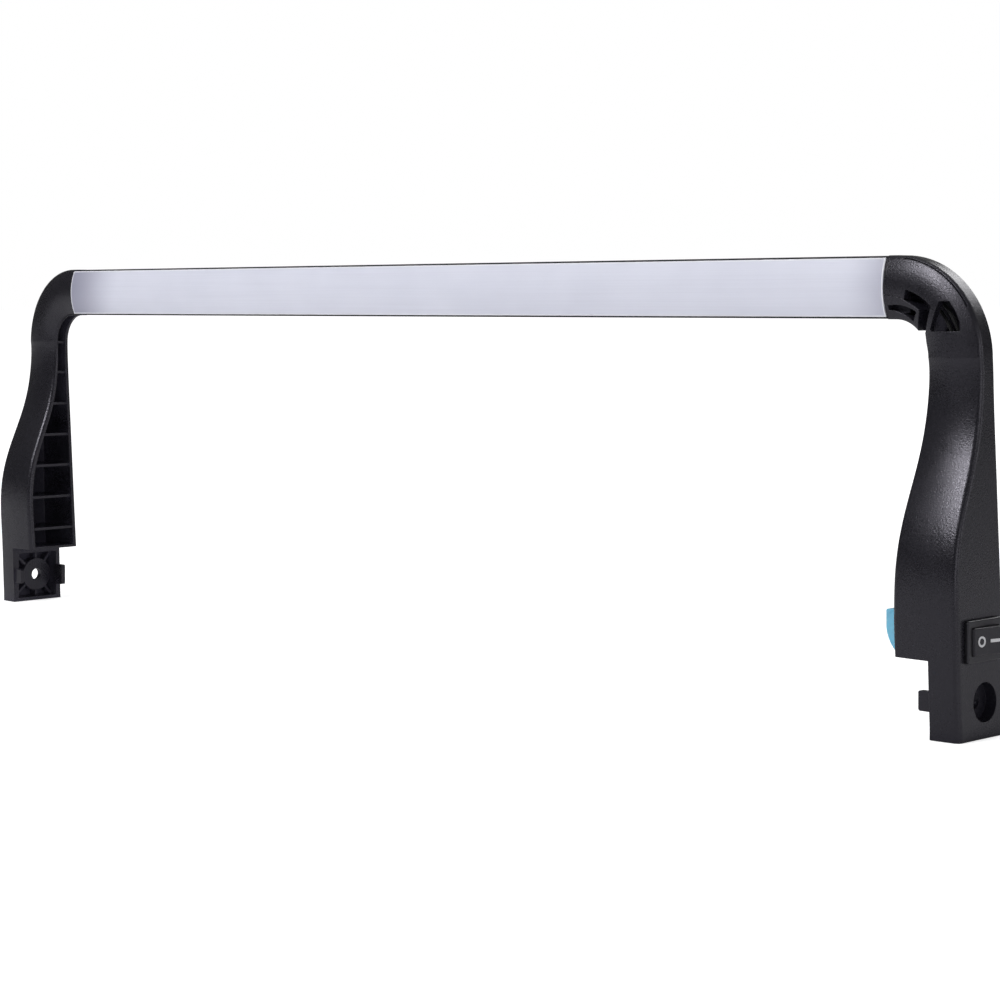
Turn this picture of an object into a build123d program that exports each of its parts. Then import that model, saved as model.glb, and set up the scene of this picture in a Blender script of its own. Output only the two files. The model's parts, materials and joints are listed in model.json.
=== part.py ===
from build123d import *
from math import atan2, cos, degrees, pi, radians, sin, sqrt
import os

# A slim LED light bar carried by two curved legs. Millimetres.
# X runs along the bar, Y from front to back, Z up. The parts are drawn about the middle of the bar, on the
# plane of the feet and in line with the two fixing holes. At the end they are moved together, so that the
# origin is the middle of the left fixing hole.

# --- overall ---------------------------------------------------------------------------------------
HALF_SPAN = 300.0        # middle of the bar to the outer face of a leg, beside the elbow
FOOT_SPAN = 301.5        # the same beside the foot: the legs splay a little
SPLAY_HEIGHTS = (52.0, 128.0)    # the outer face leans between these heights
BAR_END = 258.7          # middle of the bar to the joint between bar and elbow
ELBOW_X = 262.5          # centre of the elbow's concentric arcs
ELBOW_Z = 135.7
ELBOW_OUT = 37.5         # outer radius of the elbow
ELBOW_IN = 13.8          # inner radius of the elbow
BAR_MID_Z = ELBOW_Z + (ELBOW_OUT + ELBOW_IN) / 2

# --- leg -------------------------------------------------------------------------------------------
LEG_TOP_IN = ELBOW_X + ELBOW_IN    # inner face of a leg above the taper
TAPER_TOP = 119.0
STEP_Z = 28.2            # underside of the step where the leg narrows
STEP_IN = 273.2          # inner face of the leg just above the step
FOOT_IN = 289.4          # inner face of the narrow foot
BACK_FOOT = 12.2         # back face at the foot and at the elbow
BACK_TOP = 8.6
FRONT_CORNER = 2.2       # rounding of the two front edges
BACK_CORNER = 1.0
# height, most forward point of the front face, radius of its crown
FRONT_LINE = [
    (0.0, -16.6, 140.0),
    (17.0, -17.1, 140.0),
    (34.0, -17.7, 140.0),
    (51.0, -18.4, 130.0),
    (68.0, -16.9, 105.0),
    (85.0, -11.5, 75.0),
    (102.0, -5.2, 48.0),
    (119.0, -2.1, 30.0),
    (ELBOW_Z, -2.0, 26.0),
]
OUTER_WALL = 2.5
FRONT_WALL = 2.8
BACK_WALL = 2.1
RIB = 1.3
RIB_SETBACK = 1.0        # ribs stop this far inside the open edge
RIB_HEIGHTS = [38.6, 55.0, 71.3, 87.3, 103.4, 119.7, 135.4]
STEP_FLOOR = 1.2
FOOT_FLOOR = 1.8
FOOT_ROOF_Z = 25.6       # middle of the wall above the fixing hole
FOOT_ROOF = 1.4

# --- fixing hole and hook tabs in each foot -----------------------------------------------------------
FIX_Z = 13.0
FIX_R = 3.0
FIX_HEAD_R = 7.15        # counterbore for the screw head, open on the outer face
FIX_FLOOR_OUT = 297.0    # floor of the counterbore, outer and inner side
FIX_FLOOR_IN = 293.5
FIX_CUP_R = 8.4
TAB_REACH = 5.2
FRONT_TAB = (9.9, 17.2)  # heights of the hook tabs
BACK_TAB = (7.5, 17.7)
TAB_THICK = 2.2

# --- light bar ---------------------------------------------------------------------------------------
BAR_HALF_H = 11.65       # half the height of the housing
BAR_LIP_Y = 0.3
BAR_WALL = 1.3
DIFFUSER_HALF_H = 10.95
DIFFUSER_CROWN = 2.2
DIFFUSER_WALL = 1.3
DIFFUSER_LEG = 3.5       # how far its two legs reach into the housing
SNAP_Y = 2.6             # middle of the snap ridge
SNAP = 0.2
TAPE = 0.3
BOARD_T = 1.0
BOARD_H = 12.0
BOARD_HALF_L = 244.0
CHIP = (3.5, 0.8, 2.8)
CHIP_COUNT = 42
CHIP_PITCH = 11.0
END_GAP = 0.1            # between bar and elbow

# --- end plugs ---------------------------------------------------------------------------------------
PLUG_REACH = 13.5        # length inside the bar
PLUG_ELBOW = 9.2         # length inside the elbow
PLUG_FRONT = 2.2
PLUG_SHOULDER = 3.0      # above this the elbow block steps back, clear of the curved wall
LEAD_WAY = (159.0, 164.2)
LOBE_RIM = (257.4, 130.7, 28.0)    # rim of the lobe under the right elbow: centre in X and Z, radius
WINDOW_FLOOR = 144.8     # lower edge of the elbow windows
LOBE_START = 20.0        # where the lobe's sector starts, in degrees about the elbow's centre
LOBE_END = ((272.1, 144.8), (274.6, 152.8))    # leaning end of the lobe, X and Z
LOBE_GAP = 0.15
LOBE_CORNER = 0.6        # rounding of its front edge, crisper than the leg's
SLOT_ANGLES = (97.0, 57.5)
SLOT_RADII = ((17.4, 19.1), (15.5, 19.7))      # inner and outer edge where the slot starts and ends
SLOT_FLOOR_Y = 5.4
WINDOW_RIB = (279.9, 276.5)                    # left edge of the rib, X at its top and foot
WINDOW_TRIANGLE = [
    (278.9, 145.3),
    (292.4, 145.3),
    (291.9, 149.0),
    (289.9, 152.9),
    (287.4, 156.2),
    (283.2, 156.2),
]
NOTCH_RADII = (19.5, 25.6)
NOTCH_ANGLES = (30.0, 76.0)
NOTCH_STEP = (271.5, 154.7)      # below and beyond this corner the notch is open down to its floor

# --- rocker switch -----------------------------------------------------------------------------------
SWITCH_SEAT = 301.4      # flat seat of the bezel, just below the leg's outer face
SWITCH_Y = -1.9
SWITCH_Z = 35.45
BEZEL = (1.8, 21.0, 15.2)
SWITCH_BODY = (11.5, 19.0, 13.0)
ROCKER_WELL = (17.0, 10.1)
ROCKER_R = 8.4           # end faces turn about the pivot at this radius
ROCKER_W = 9.8
ROCKER_PIVOT_X = 300.6
ROCKER_END_H = 4.8       # top of the rocker above the pivot, at its ends and in the middle
ROCKER_MID_H = 4.4
ROCKER_TILT = 10.0       # each way from level; the rest position is switched off
BLADE_TILT = 7.0
BLADE_X = 293.3
TRUNNION_R = 1.2
RUNNING = 0.05           # radial clearance of running fits
TRUNNION_L = 1.2
WELL_FLOOR = 1.5
ROCKER_FOOT_H = 1.5
STEM_R = 2.2
STEM_BORE = 1.28
STEM_END = 4.6           # below the pivot
STEM_TOP = 1.5           # above the pivot
PLUNGER_R = 1.2
PLUNGER_TOP = 3.4
PLUNGER_NOSE = 5.8
BLADE_T = 0.5
BLADE_BEAD_R = 0.45      # round bead under the blade that it rocks on
CONTACT_REACH = 4.4
TAB_T = 0.8              # terminal tabs
TAB_W = 4.8
RING = (1.95, 1.2)       # outer and inner radius of the off mark
DASH = (4.8, 1.15)       # length and width of the on mark
MARK_T = 0.12

# --- release catch -----------------------------------------------------------------------------------
CATCH_Y = (-14.0, -9.0)
CATCH_Z = (29.7, 44.9)
CATCH_TIP = 268.7
CATCH_FLANGE = 2.0
CATCH_LIP = 1.1
CATCH_FLANGE_X = 276.1
CATCH_HOUSING_X = 276.25
CATCH_POCKET_X = 272.5
CATCH_RELIEF = (46.0, 1.5)       # the front wall beside the catch is cut back below this height, by so much
CATCH_BACK = 286.5       # where the spring rests
CATCH_SPRING_R = 1.9
CATCH_SPRING_Z = 37.0
CATCH_SCREW_R = 0.9
COVER_T = 2.0
COVER_SCREW_R = 1.1
COVER_HEAD = (2.0, 1.2)

# --- electrics in the right leg ------------------------------------------------------------------------
SOCKET_X = 286.5
SOCKET_Z = 52.0
DRIVER_Z = (66.0, 92.0)
DRIVER_Y = (-4.5, 7.4)
DRIVER_X = 293.0         # face with the components
DRIVER_T = 1.6
POST_SPOTS = [(5.2, 60.6), (4.7, 100.0)]    # Y and Z of the cover's screw posts
POST_R = 2.4
WIRE_R = 0.65
LEAD_END_GAP = 0.1       # leads stop this far from what they are soldered to
DRIVER_SCREW_R = 0.95
SOCKET_FLANGE_R = 5.6
SOCKET_BARREL_R = 3.95
SOCKET_BORE_R = 2.85
SOCKET_PIN_R = 1.0
SOCKET_DEPTH = 9.5
LEAD_Y = 3.8
LEAD_GAP = (282.0, 291.5)    # ribs leave this gap for the leads
FLUSH_R = 1.45           # countersunk screws at the back of bar and elbows
FLUSH_HEAD_R = 2.7
FLUSH_LENGTH = 5.6
BAR_SCREW_X = 252.0
BAR_SCREW_DZ = 6.4
LEG_SCREW_X = 265.4
LEG_SCREW_DZ = (-6.2, 5.4)


# --- small helpers -----------------------------------------------------------------------------------
def box(x0, x1, y0, y1, z0, z1):
    """A box between two corners."""
    corner = Pos((x0 + x1) / 2, (y0 + y1) / 2, (z0 + z1) / 2)
    return corner * Box(abs(x1 - x0), abs(y1 - y0), abs(z1 - z0))


def upright(radius, length):
    """A round bar that stands on the origin."""
    return Cylinder(radius, length, align=(Align.CENTER, Align.CENTER, Align.MIN))


def rod(radius, start, end):
    """A round bar from one point to another."""
    a = Vector(*start)
    b = Vector(*end)
    return Plane(origin=a, z_dir=b - a) * upright(radius, (b - a).length)


def tube(outer, inner, start, end):
    return rod(outer, start, end) - rod(inner, start, end)


def prism_xz(points, y0, y1):
    """An outline in X and Z, carried from y0 to y1."""
    wire = Polyline(*[(x, y0, z) for x, z in points], close=True)
    return extrude(make_face(wire), amount=y1 - y0, dir=(0, 1, 0))


def wire_run(path, radius=WIRE_R):
    """A round lead that follows a path."""
    start = path @ 0
    profile = Plane(origin=start, z_dir=path % 0) * Circle(radius)
    return sweep(profile, path=path)


def coil(radius, wire_radius, start, length, turns, direction):
    """A helical spring."""
    pitch = (length - 2 * wire_radius) / turns
    frame = Plane(origin=Vector(*start), z_dir=Vector(*direction))
    line = frame * (Pos(0, 0, wire_radius) * Helix(pitch, pitch * turns, radius))
    profile = Plane(origin=line @ 0, z_dir=line % 0) * Circle(wire_radius)
    return sweep(profile, path=line, is_frenet=True)


def around(middle, length):
    """The two ends of a length about its middle."""
    return (middle - length / 2, middle + length / 2)


def mirrored(shape):
    return mirror(shape, about=Plane.YZ)


# --- the leg's form ------------------------------------------------------------------------------------
def inner_face(z):
    """X of the leg's inner face: it leans in below the taper's top."""
    if z >= TAPER_TOP:
        return LEG_TOP_IN
    share = (TAPER_TOP - z) / (TAPER_TOP - STEP_Z)
    return LEG_TOP_IN + (STEP_IN - LEG_TOP_IN) * share


def outer_face(z):
    """X of the leg's outer face: upright beside the foot and the elbow, leaning out between them."""
    low, high = SPLAY_HEIGHTS
    share = min(1.0, max(0.0, (high - z) / (high - low)))
    return HALF_SPAN + (FOOT_SPAN - HALF_SPAN) * share


def back_face(z):
    return BACK_FOOT + (BACK_TOP - BACK_FOOT) * min(z, ELBOW_Z) / ELBOW_Z


def front_face(z):
    """Most forward Y at a height, by straight steps along the front line."""
    for (z0, y0, _), (z1, y1, _) in zip(FRONT_LINE, FRONT_LINE[1:]):
        if z <= z1:
            return y0 + (y1 - y0) * (z - z0) / (z1 - z0)
    return FRONT_LINE[-1][1]


def corner_arc(x, y, radius, a0, a1, z):
    """An arc about (x, y), between two angles, level at height z."""
    def point(angle):
        return (x + radius * cos(angle), y + radius * sin(angle), z)
    return ThreePointArc(point(a0), point((a0 + a1) / 2), point(a1))


def leg_section(z, x_in, x_out, y_front, y_back, crown, corner, heel):
    """Level outline of a leg: crowned front with rounded corners, straight sides, flat back."""
    mid = (x_in + x_out) / 2
    crown_y = y_front + crown
    side = (x_out - x_in) / 2 - corner
    corner_y = crown_y - sqrt((crown - corner) ** 2 - side ** 2)
    lean = atan2(corner_y - crown_y, side)
    front_out = corner_arc(x_out - corner, corner_y, corner, 0.0, lean, z)
    front_in = corner_arc(x_in + corner, corner_y, corner, -pi - lean, -pi, z)
    front = ThreePointArc(front_out @ 1, (mid, y_front, z), front_in @ 0)
    back_in = corner_arc(x_in + heel, y_back - heel, heel, pi, pi / 2, z)
    back_out = corner_arc(x_out - heel, y_back - heel, heel, pi / 2, 0.0, z)
    inner = Line(front_in @ 1, back_in @ 0)
    back = Line(back_in @ 1, back_out @ 0)
    outer = Line(back_out @ 1, front_out @ 0)
    return Face(Wire([front_out, front, front_in, inner, back_in, back, back_out, outer]))


def leg_form(inset_in=0.0, inset_out=0.0, inset_front=0.0, inset_back=0.0,
             corner=FRONT_CORNER, heel=BACK_CORNER):
    """The leg and elbow as one solid form, with its faces moved inwards by the insets."""
    def section(z, y_front, crown):
        return leg_section(
            z, inner_face(z) + inset_in, outer_face(z) - inset_out,
            y_front + inset_front, back_face(z) - inset_back, crown, corner, heel,
        )
    sections = [section(*row) for row in FRONT_LINE]
    leg = loft(sections)
    axis = Axis((ELBOW_X, 0, ELBOW_Z), (0, -1, 0))
    elbow = revolve(sections[-1], axis, 90)
    end_face = sections[-1].rotate(axis, 90)
    neck = extrude(end_face, amount=ELBOW_X - BAR_END - END_GAP, dir=(-1, 0, 0))
    return leg + elbow + neck


def foot_hollow():
    """The open box around the fixing hole, less the screw cup and its ribs."""
    roof = FOOT_ROOF_Z - FOOT_ROOF / 2
    y_front = front_face(0) + FRONT_WALL
    y_back = back_face(roof) - BACK_WALL
    x_out = FOOT_SPAN - OUTER_WALL
    hollow = box(FOOT_IN - 10, x_out, y_front, y_back, FOOT_FLOOR, roof)
    hollow = fillet(hollow.edges().filter_by(Axis.X), 0.6)
    cup = rod(FIX_CUP_R, (FIX_FLOOR_IN, 0, FIX_Z), (FOOT_SPAN, 0, FIX_Z))
    solid = cup
    corners = [(y_front, FOOT_FLOOR), (y_back, FOOT_FLOOR), (y_front, roof), (y_back, roof)]
    for y, z in corners:
        angle = degrees(atan2(z - FIX_Z, y))
        arm = Pos(FIX_FLOOR_IN + 0.6, 0, FIX_Z) * (Rot(X=angle) * Box(
            20, 30, RIB, align=(Align.MIN, Align.MIN, Align.CENTER)))
        solid += arm
    solid += box(FIX_FLOOR_IN + 0.6, x_out + 1, -RIB / 2, RIB / 2, 0, roof + 1)
    return hollow - solid


def leg_hollow():
    """Inside of a leg above the foot, open on the inner side."""
    cavity = leg_form(-6.0, OUTER_WALL, FRONT_WALL, BACK_WALL, 1.0, 0.6)
    low = FOOT_ROOF_Z + FOOT_ROOF / 2
    cavity -= box(200, 320, -40, 40, -10, low)
    cavity -= box(200, FOOT_IN + 1.6, -40, 40, -10, STEP_Z + STEP_FLOOR)
    return cavity


def hook_tabs():
    """Two tabs that reach inwards from the foot's front and back walls."""
    tip = FOOT_IN - TAB_REACH
    front_y = front_face(sum(FRONT_TAB) / 2) + 0.9
    back_y = back_face(sum(BACK_TAB) / 2) - 0.3
    front = box(tip, FOOT_IN + 1.5, front_y, front_y + TAB_THICK, *FRONT_TAB)
    back = box(tip, FOOT_IN + 1.5, back_y - TAB_THICK, back_y, *BACK_TAB)
    front = fillet(front.edges().filter_by(Axis.Y).group_by(Axis.X)[0], 0.8)
    back = fillet(back.edges().filter_by(Axis.Y).group_by(Axis.X)[0], 0.8)
    return front + back


def leg_blank():
    """A leg's outer form with the narrow foot cut."""
    blank = leg_form()
    blank -= box(200, FOOT_IN, -40, 40, -10, STEP_Z)
    return blank


def screw_hole():
    """Counterbored fixing hole through the foot."""
    head = rod(FIX_HEAD_R, (FIX_FLOOR_OUT, 0, FIX_Z), (FOOT_SPAN + 5, 0, FIX_Z))
    return head + rod(FIX_R, (FIX_FLOOR_IN - 5, 0, FIX_Z), (FOOT_SPAN, 0, FIX_Z))


# --- outlines around the right elbow -------------------------------------------------------------------
def polar(radius, angle):
    """A point in X and Z, by radius and angle in degrees about the elbow's centre."""
    return (ELBOW_X + radius * cos(radians(angle)), ELBOW_Z + radius * sin(radians(angle)))


def elbow_sector(r0, r1, a0, a1, y0, y1):
    """Part of a ring about the elbow's centre, between two angles in degrees."""
    def point(radius, angle):
        x, z = polar(radius, angle)
        return (x, y0, z)
    mid = (a0 + a1) / 2
    inner = ThreePointArc(point(r0, a0), point(r0, mid), point(r0, a1))
    outer = ThreePointArc(point(r1, a1), point(r1, mid), point(r1, a0))
    sides = [Line(inner @ 1, outer @ 0), Line(outer @ 1, inner @ 0)]
    face = make_face(Wire([inner, sides[0], outer, sides[1]]))
    return extrude(face, amount=y1 - y0, dir=(0, 1, 0))


def lobe_prism(gap, y0, y1):
    """The lobe under the right elbow: it ends in a leaning line, and is grown by a gap."""
    rim_x, rim_z, rim_r = LOBE_RIM
    under_rim = rod(rim_r + gap, (rim_x, y0, rim_z), (rim_x, y1, rim_z))
    sector = elbow_sector(ELBOW_IN - 1, rim_r, LOBE_START, 90, y0, y1)
    neck = box(BAR_END, ELBOW_X, y0, y1, ELBOW_Z + ELBOW_IN - 1, ELBOW_Z + rim_r)
    foot = WINDOW_FLOOR - gap
    (x_low, _), (x_high, z_high) = LOBE_END
    slope = (x_high - x_low) / (z_high - WINDOW_FLOOR)
    beyond = [
        (x_low + gap - slope * gap, foot),
        (x_high + gap, z_high),
        (x_high + gap + 9 * slope, z_high + 9),
        (x_high + 25, z_high + 9),
        (x_high + 25, foot - 20),
        (x_low - 20, foot - 20),
        (x_low - 20, foot),
    ]
    return (sector + neck) & under_rim - prism_xz(beyond, y0 - 1, y1 + 1)


def lobe_slot(y0, y1):
    """Curved wedge-shaped slot in the face of the lobe."""
    def point(radius, angle):
        x, z = polar(radius, angle)
        return (x, y0, z)
    (r_low, r_high), (r_low_end, r_high_end) = SLOT_RADII
    a0, a1 = SLOT_ANGLES
    mid = (a0 + a1) / 2
    low = ThreePointArc(point(r_low, a0), point((r_low + r_low_end) / 2, mid), point(r_low_end, a1))
    high = ThreePointArc(point(r_high_end, a1), point((r_high + r_high_end) / 2, mid), point(r_high, a0))
    wire = Wire([low, Line(low @ 1, high @ 0), high, Line(high @ 1, low @ 0)])
    return extrude(make_face(wire), amount=y1 - y0, dir=(0, 1, 0))


def elbow_windows():
    """Openings in the front wall of the right elbow, either side of a leaning rib."""
    y0, y1 = -10, FRONT_WALL + 1.6
    (rib_top, rib_foot) = WINDOW_RIB
    step_x, step_z = NOTCH_STEP
    notch = elbow_sector(*NOTCH_RADII, *NOTCH_ANGLES, y0, y1)
    notch += box(step_x, rib_top, y0, y1, WINDOW_FLOOR, step_z)
    right_of_rib = [
        (rib_foot - RIB, WINDOW_FLOOR - 5),
        (rib_foot, WINDOW_FLOOR),
        (rib_top + 0.3, 155.0),
        (rib_top + 2.3, 162.0),
        (310, 162.0),
        (310, WINDOW_FLOOR - 5),
    ]
    notch -= prism_xz(right_of_rib, y0 - 1, y1 + 1)
    notch -= box(200, 320, y0 - 1, y1 + 1, 0, WINDOW_FLOOR)
    triangle = prism_xz(WINDOW_TRIANGLE, y0, y1)
    triangle = fillet(triangle.edges().filter_by(Axis.Y), 0.7)
    return notch + triangle + lobe_prism(LOBE_GAP, y0, y1)


def crease():
    """Fine groove along the front corner of the right elbow."""
    radius = ELBOW_OUT - 0.9
    return elbow_sector(radius - 0.17, radius + 0.17, 30, 84, -1.5, 1.1)


# --- the two legs ----------------------------------------------------------------------------------------
def left_leg():
    """One-piece open moulding, drawn on the +X side and mirrored."""
    hollow = leg_hollow()
    for z in RIB_HEIGHTS:
        hollow -= box(inner_face(z) + RIB_SETBACK, 320, -40, 40, z - RIB / 2, z + RIB / 2)
    leg = leg_blank() - hollow - foot_hollow() - screw_hole() + hook_tabs()
    leg -= leg_screw_holes()
    return mirrored(leg)


def catch_relief():
    """Wedge cut from the front wall's inner edge, beside the catch."""
    top, depth = CATCH_RELIEF
    outline = [
        (inner_face(top), top),
        (STEP_IN + depth, STEP_Z),
        (STEP_IN + depth, STEP_Z - 1),
        (STEP_IN - 5, STEP_Z - 1),
        (STEP_IN - 5, top),
    ]
    return prism_xz(outline, -30, front_face(STEP_Z) + FRONT_WALL)


def right_leg():
    """The leg that carries the electrics: windows at the elbow, openings for switch and socket."""
    hollow = leg_hollow()
    for z in RIB_HEIGHTS[4:]:
        slab = box(LEG_TOP_IN + COVER_T + 0.5, 320, -40, 40, z - RIB / 2, z + RIB / 2)
        hollow -= slab - box(LEAD_GAP[0], LEAD_GAP[1], -40, 40, z - 2, z + 2)
    for y, z in POST_SPOTS:
        start = inner_face(z) + COVER_T + 0.3
        hollow -= tube(POST_R, COVER_SCREW_R + RUNNING, (start, y, z), (start + 10, y, z))
        hollow -= rod(POST_R, (start + 10, y, z), (HALF_SPAN, y, z))
    for y, z in driver_screw_spots():
        hollow -= tube(2.0, DRIVER_SCREW_R + RUNNING, (DRIVER_X + DRIVER_T, y, z), (HALF_SPAN - 1, y, z))
    leg = leg_blank() - hollow - foot_hollow() - screw_hole() + hook_tabs()
    leg -= box(200, LEG_TOP_IN, -40, 40, ELBOW_Z - 0.5, WINDOW_FLOOR)
    leg -= elbow_windows() + crease() + leg_screw_holes()
    leg -= switch_cutout() + socket_cutout() + catch_relief()
    return leg


def right_leg_cover():
    """Flat cover over the wiring, between the front and back walls of the right leg."""
    low = STEP_Z + STEP_FLOOR + 0.05
    high = WINDOW_FLOOR - 0.2
    outline = [
        (inner_face(low), low),
        (inner_face(low) + COVER_T, low),
        (LEG_TOP_IN + COVER_T, TAPER_TOP),
        (LEG_TOP_IN + COVER_T, high),
        (LEG_TOP_IN, high),
        (LEG_TOP_IN, TAPER_TOP),
    ]
    cover = prism_xz(outline, -40, 40)
    cover &= leg_form(-6.0, OUTER_WALL, FRONT_WALL + 0.1, BACK_WALL + 0.1, 1.0, 0.6)
    slot_y = (CATCH_Y[0] - 5, CATCH_Y[1] + 0.15)
    cover -= box(260, 290, *slot_y, 20, CATCH_Z[1] + 0.15)
    for y, z in POST_SPOTS:
        face = inner_face(z)
        cover -= rod(COVER_SCREW_R + 0.1, (face - 1, y, z), (face + 5, y, z))
        cover -= rod(COVER_HEAD[0] + 0.1, (face - 1, y, z), (face + COVER_HEAD[1], y, z))
    for y, z in catch_screw_spots():
        face = inner_face(z)
        cover -= rod(CATCH_SCREW_R + RUNNING, (face + 0.7, y, z), (face + 5, y, z))
    return cover


def cover_screws():
    """Pan-head screws from the cover into the leg's posts."""
    screws = []
    for y, z in POST_SPOTS:
        screws.append(pan_screw((inner_face(z), y, z), (1, 0, 0), COVER_SCREW_R, 9.0, *COVER_HEAD))
    return Compound(screws)


# --- screws ----------------------------------------------------------------------------------------------
def cross_recess(depth, width, reach):
    """Cross-shaped recess, cut from the head's face at the origin along +Z."""
    size = (reach, width, depth * 2)
    return Box(*size) + Rot(Z=90) * Box(*size)


def pan_screw(start, direction, radius, length, head_r, head_t):
    """Pan-head screw: its head's face is at start and it points along direction."""
    head = fillet(upright(head_r, head_t).edges().group_by(Axis.Z)[0], head_t * 0.4)
    body = head + upright(radius, length) - cross_recess(head_t * 0.7, head_r * 0.3, head_r * 1.3)
    return (Plane(origin=Vector(*start), z_dir=Vector(*direction)) * body).solid()


def flush_form(radius, length, head_r, grow):
    """Countersunk screw form along +Z from its flat face."""
    depth = head_r - radius
    cone = Pos(0, 0, depth / 2) * Cone(head_r + grow, radius + grow, depth)
    return cone + upright(radius + grow, length + grow)


def flush_screw(start, direction, radius, length, head_r):
    body = flush_form(radius, length, head_r, 0.0)
    body -= cross_recess(head_r * 0.35, head_r * 0.28, head_r * 1.15)
    return (Plane(origin=Vector(*start), z_dir=Vector(*direction)) * body).solid()


def flush_holes(spots, y):
    """Countersunk holes from the back, at spots in X and Z."""
    holes = []
    for x, z in spots:
        form = flush_form(FLUSH_R, FLUSH_LENGTH, FLUSH_HEAD_R, RUNNING)
        holes.append((Plane(origin=(x, y, z), z_dir=(0, -1, 0)) * form).solid())
    return Compound(holes)


def flush_screws(spots, y):
    return [flush_screw((x, y, z), (0, -1, 0), FLUSH_R, FLUSH_LENGTH, FLUSH_HEAD_R) for x, z in spots]


def bar_screw_spots(side):
    return [(side * BAR_SCREW_X, BAR_MID_Z + dz) for dz in (-BAR_SCREW_DZ, BAR_SCREW_DZ)]


def leg_screw_spots(side):
    return [(side * LEG_SCREW_X, BAR_MID_Z + dz) for dz in LEG_SCREW_DZ]


def leg_screw_holes():
    return flush_holes(leg_screw_spots(1), BACK_TOP)


def bar_screws():
    return Compound(flush_screws(bar_screw_spots(-1) + bar_screw_spots(1), BACK_TOP))


def leg_screws():
    return Compound(flush_screws(leg_screw_spots(-1) + leg_screw_spots(1), BACK_TOP))


# --- light bar -------------------------------------------------------------------------------------------
def bar_housing():
    """Channel, open to the front, with a rebate and a snap groove for the diffuser."""
    body = box(-BAR_END, BAR_END, BAR_LIP_Y, BACK_TOP, BAR_MID_Z - BAR_HALF_H, BAR_MID_Z + BAR_HALF_H)
    body = fillet(body.edges().filter_by(Axis.X).group_by(Axis.Y)[-1], 1.6)
    body = fillet(body.edges().filter_by(Axis.X).group_by(Axis.Y)[0], 0.25)

    def channel(y0, y1, half):
        return box(-BAR_END - 1, BAR_END + 1, y0, y1, BAR_MID_Z - half, BAR_MID_Z + half)
    rebate = DIFFUSER_HALF_H + RUNNING
    body -= channel(-5, BACK_TOP - BAR_WALL, BAR_HALF_H - BAR_WALL)
    body -= channel(-5, DIFFUSER_LEG + 0.1, rebate)
    body -= channel(SNAP_Y - 0.4, SNAP_Y + 0.4, rebate + SNAP)
    body -= flush_holes(bar_screw_spots(-1) + bar_screw_spots(1), BACK_TOP)
    return body


def diffuser():
    """Crowned strip with two legs that snap into the housing."""
    half_l = BAR_END - 0.15
    x = -half_l
    top = BAR_MID_Z + DIFFUSER_HALF_H
    low = BAR_MID_Z - DIFFUSER_HALF_H
    wall = DIFFUSER_WALL
    outer = ThreePointArc((x, 0, low), (x, -DIFFUSER_CROWN, BAR_MID_Z), (x, 0, top))
    crown = (x, wall - DIFFUSER_CROWN, BAR_MID_Z)
    inner = ThreePointArc((x, wall, top - wall), crown, (x, wall, low + wall))
    top_leg = Polyline(outer @ 1, (x, DIFFUSER_LEG, top), (x, DIFFUSER_LEG, top - wall), inner @ 0)
    low_leg = Polyline(inner @ 1, (x, DIFFUSER_LEG, low + wall), (x, DIFFUSER_LEG, low), outer @ 0)
    face = make_face(Wire([outer] + top_leg.edges() + [inner] + low_leg.edges()))
    strip = extrude(face, amount=2 * half_l, dir=(1, 0, 0))
    for z in (low, top):
        strip += box(-half_l, half_l, SNAP_Y - 0.3, SNAP_Y + 0.3, z - SNAP, z + SNAP)
    return strip


def thermal_tape():
    back = BACK_TOP - BAR_WALL
    half = BOARD_H / 2 - 0.5
    return box(-BOARD_HALF_L, BOARD_HALF_L, back - TAPE, back, BAR_MID_Z - half, BAR_MID_Z + half)


def board_front():
    return BACK_TOP - BAR_WALL - TAPE - BOARD_T


def led_board():
    front = board_front()
    half = BOARD_H / 2
    return box(-BOARD_HALF_L, BOARD_HALF_L, front, front + BOARD_T, BAR_MID_Z - half, BAR_MID_Z + half)


def led_chips():
    """A row of chips at an even pitch."""
    first = -(CHIP_COUNT - 1) / 2 * CHIP_PITCH
    chips = []
    for index in range(CHIP_COUNT):
        place = Pos(first + index * CHIP_PITCH, board_front() - CHIP[1] / 2, BAR_MID_Z)
        chips.append((place * Box(*CHIP)).solid())
    return Compound(chips)


def led_connector():
    """Two-pole connector at the right end of the board, with an entry for each lead."""
    front = board_front()
    low, high = LEAD_WAY
    body = box(BOARD_HALF_L - 8, BOARD_HALF_L - 0.5, front - 3.4, front, low - 0.2, high + 0.2)
    for z in lead_heights():
        body -= rod(WIRE_R + 0.1, (BOARD_HALF_L - 4, LEAD_Y, z), (BOARD_HALF_L + 2, LEAD_Y, z))
    return body


def plug_body():
    """Block that joins bar and elbow: a tongue in the bar and a shorter block in the elbow."""
    back = BACK_TOP - BAR_WALL - 0.1
    half = DIFFUSER_HALF_H - DIFFUSER_WALL - 0.15
    z0 = BAR_MID_Z - half
    tongue = box(BAR_END - PLUG_REACH, BAR_END + END_GAP, PLUG_FRONT, back, z0, BAR_MID_Z + half)
    elbow_back = BACK_TOP - BACK_WALL - 0.1
    end = BAR_END + PLUG_ELBOW
    shoulder = BAR_MID_Z + PLUG_SHOULDER
    block = box(BAR_END, end, PLUG_FRONT, elbow_back, z0, shoulder)
    block += box(BAR_END, end, PLUG_FRONT + 2.0, elbow_back, z0, BAR_MID_Z + half - 1.8)
    plug = tongue + block
    plug -= flush_holes(bar_screw_spots(1) + leg_screw_spots(1), BACK_TOP)
    return plug


def left_end_plug():
    return mirrored(plug_body())


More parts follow.
